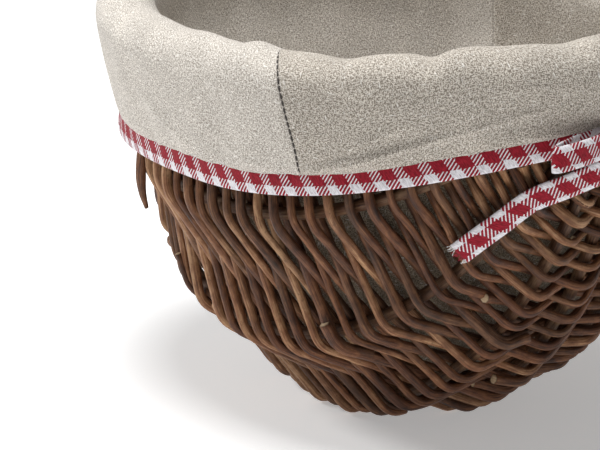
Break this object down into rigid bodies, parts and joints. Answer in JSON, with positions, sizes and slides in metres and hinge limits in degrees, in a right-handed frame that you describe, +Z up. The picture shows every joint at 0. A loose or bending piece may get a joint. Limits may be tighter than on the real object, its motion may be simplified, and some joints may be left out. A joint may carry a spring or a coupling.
{
  "type": "lined willow basket",
  "caption": "Oval boat-shaped frame basket woven from willow on ribs, with a linen liner turned out over the rim, a gingham bound hem and a bow at one end.",
  "frame": {"origin": "centre of the footprint of the whole object, on the surface it rests on", "axes": "+X from the far ear to the ear with the bow, the basket's long way; +Z up; the front long side faces -Y"},
  "size_m": [0.2898, 0.2288, 0.1782],
  "materials": {
    "frame_willow": "peeled and unpeeled willow rod, smooth, dull",
    "woven_willow": "unpeeled brown willow bark, satin",
    "linen": "plain woven natural linen with slubs",
    "gingham": "red and white checked cotton"
  },
  "bodies": {
    "root": {"rim_hoop": "frame_willow", "keel_rib": "frame_willow", "rib_front_high": "frame_willow", "rib_front_middle": "frame_willow", "rib_front_low": "frame_willow", "rib_back_high": "frame_willow", "rib_back_middle": "frame_willow", "rib_back_low": "frame_willow", "ear_pad_bow_end": "woven_willow", "ear_pad_far_end": "woven_willow", "weave_front_top": "woven_willow", "weave_front_side": "woven_willow", "weave_front_low": "woven_willow", "weave_front_bottom": "woven_willow", "weave_back_top": "woven_willow", "weave_back_side": "woven_willow", "weave_back_low": "woven_willow", "weave_back_bottom": "woven_willow", "liner_base": "linen", "liner_left": "linen", "liner_right": "linen", "hem_binding": "gingham", "bow_knot": "gingham", "bow_loop_front": "gingham", "bow_loop_back": "gingham", "bow_tail_front": "gingham", "bow_tail_back": "gingham"}
  },
  "joints": []
}
